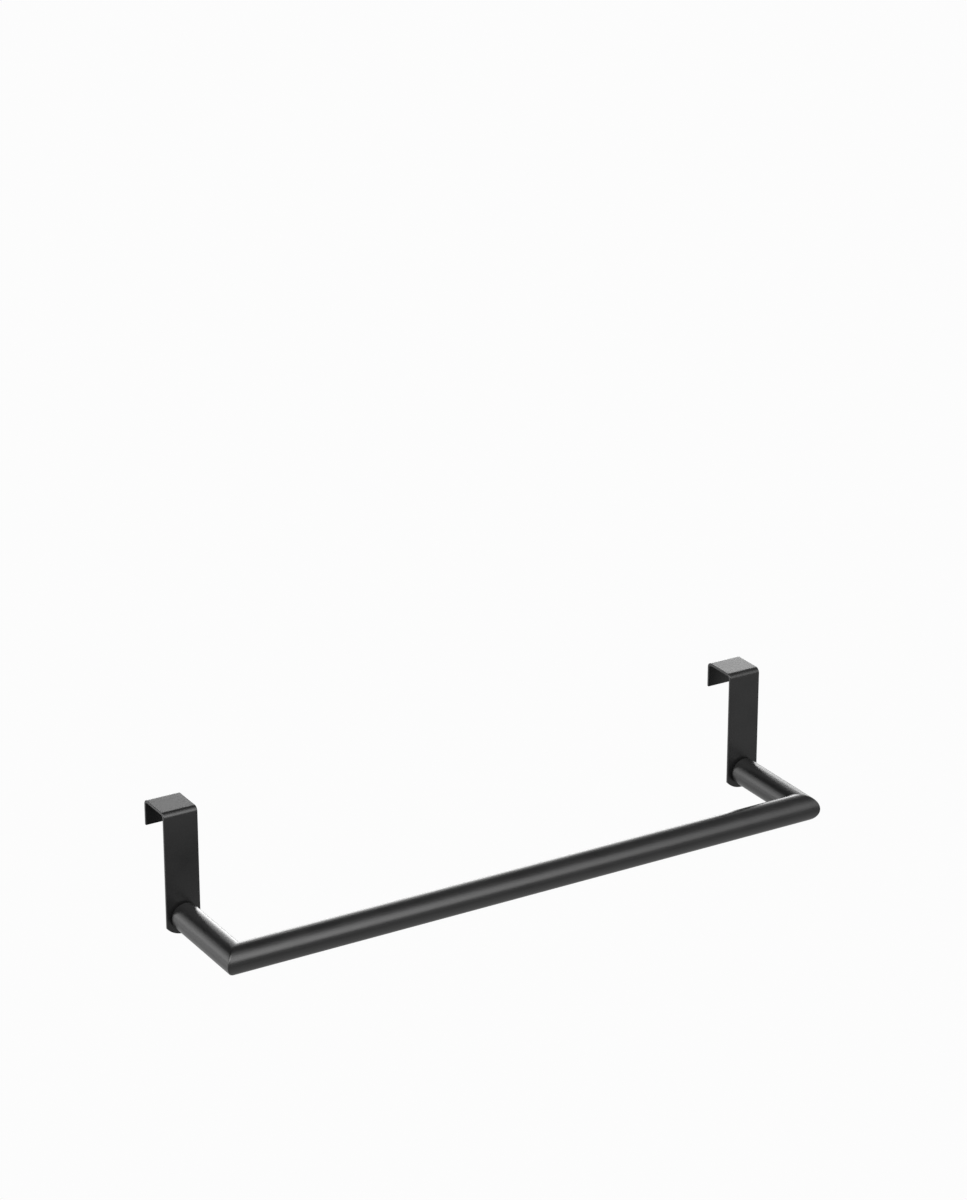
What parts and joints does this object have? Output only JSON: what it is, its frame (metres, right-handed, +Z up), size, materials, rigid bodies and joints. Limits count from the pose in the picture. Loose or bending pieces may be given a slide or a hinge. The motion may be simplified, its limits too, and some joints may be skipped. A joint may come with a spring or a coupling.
{
  "type": "side towel rail",
  "caption": "Round tube towel rail with mitred corners, carried by folded strip hooks that hang over the top edge of an upright cabinet or washstand side panel.",
  "frame": {"origin": "midway between the hooks, on the corner of the panel that they hang on: the plates' back faces are at y = 0 and the undersides of the hooks' tops at z = 0", "axes": "+Z up as hung, +X along the bar, and the bar stands out towards -Y; the panel lies on the +Y side of the plates"},
  "size_m": [0.379, 0.0895, 0.072],
  "materials": {
    "hook_coat": "matt black powder coat",
    "tube_coat": "matt black powder coat",
    "plug_steel": "turned, black oxide",
    "screw_steel": "black oxide"
  },
  "bodies": {
    "root": {"left_hook": "hook_coat", "right_hook": "hook_coat", "left_arm": "tube_coat", "right_arm": "tube_coat", "front_bar": "tube_coat", "left_end_plug": "plug_steel", "right_end_plug": "plug_steel", "hook_screws": "screw_steel"}
  },
  "joints": []
}
